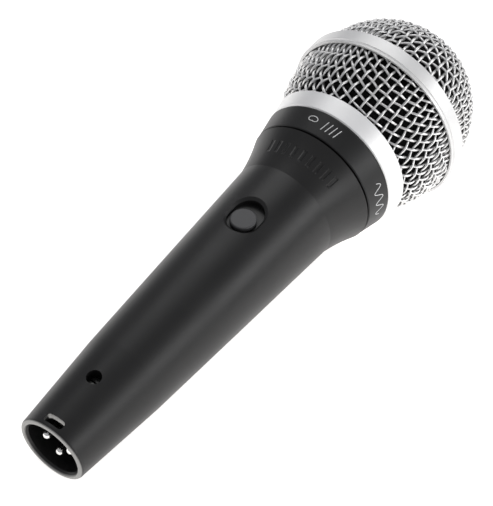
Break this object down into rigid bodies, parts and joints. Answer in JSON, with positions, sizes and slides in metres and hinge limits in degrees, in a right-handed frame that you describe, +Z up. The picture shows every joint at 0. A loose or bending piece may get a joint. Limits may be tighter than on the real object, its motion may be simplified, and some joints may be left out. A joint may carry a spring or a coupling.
{
  "type": "dynamic microphone",
  "caption": "Handheld dynamic vocal microphone: tapered handle with slide switch, three-contact male connector and a screw-on ball grille over a moving-coil capsule.",
  "frame": {"origin": "centre of the connector's rim plane", "axes": "+X along the microphone from the connector to the grille, +Z up through the switch, with the microphone lying on its side"},
  "size_m": [0.1698, 0.054, 0.054],
  "materials": {
    "black_paint": "satin black paint",
    "collar_paint": "satin black",
    "satin_silver": "satin plated ring",
    "mesh_wire": "satin plated woven wire",
    "foam": "open-cell foam",
    "black_plastic": "matte black plastic",
    "button_plastic": "smooth dark grey plastic",
    "nickel": "bright nickel",
    "brass": "plain brass",
    "steel": "zinc-plated steel",
    "iron": "soft iron",
    "magnet_steel": "nickel-plated magnet",
    "copper": "enamelled copper",
    "film": "clear polyester film",
    "felt": "felt",
    "rubber": "soft rubber",
    "board": "phenolic board",
    "silk": "fine acoustic cloth",
    "wire_red": "insulated wire",
    "wire_black": "insulated wire",
    "wire_green": "insulated wire"
  },
  "bodies": {
    "handle": {"handle_shell": "black_paint", "connector_insert": "black_plastic", "contact_pin_1": "nickel", "contact_pin_2": "nickel", "contact_pin_3": "nickel", "insert_screw": "steel", "ground_tag": "brass", "switch_case": "black_plastic", "switch_terminals": "brass", "switch_bracket": "steel", "switch_screws": "steel", "name_collar": "collar_paint", "shock_mount": "rubber", "mount_ring": "black_plastic", "capsule_housing": "black_plastic", "magnet_yoke": "iron", "magnet": "magnet_steel", "pole_plate": "iron", "diaphragm_ring": "brass", "front_cap": "black_plastic", "front_screen": "silk", "damping_felt": "felt", "terminal_board": "board", "capsule_terminals": "brass", "wire_capsule_hot": "wire_red", "wire_capsule_cold": "wire_black", "wire_output_hot": "wire_red", "wire_ground": "wire_green"},
    "switch_knob": {"switch_button": "button_plastic", "switch_slider": "black_plastic", "switch_wiper": "brass"},
    "grille_seat": {"grille_gasket": "rubber"},
    "grille_head": {"grille_base_ring": "satin_silver", "grille_bowl_mesh": "mesh_wire", "grille_band": "satin_silver", "grille_dome_mesh": "mesh_wire", "foam_liner": "foam"},
    "diaphragm_set": {"diaphragm": "film", "voice_coil": "copper"}
  },
  "joints": [
    {"name": "switch_slide", "type": "slide", "parent": "handle", "child": "switch_knob", "axis": [1, 0, 0], "range_m": [0, 0.0022]},
    {"name": "grille_lift", "type": "slide", "parent": "handle", "child": "grille_seat", "axis": [1, 0, 0], "range_m": [0, 0.004]},
    {"name": "grille_turn", "type": "hinge", "parent": "grille_seat", "child": "grille_head", "pos_m": [0.12, 0, 0], "axis": [1, 0, 0], "range_deg": [0, 1440]},
    {"name": "diaphragm_travel", "type": "slide", "parent": "handle", "child": "diaphragm_set", "axis": [1, 0, 0], "range_m": [-0.00025, 0.00025], "stiffness_N_per_m": 300}
  ],
  "couplings": [
    {"joint": "grille_lift", "follows": "grille_turn", "m_per_rad": 0.00015915}
  ]
}
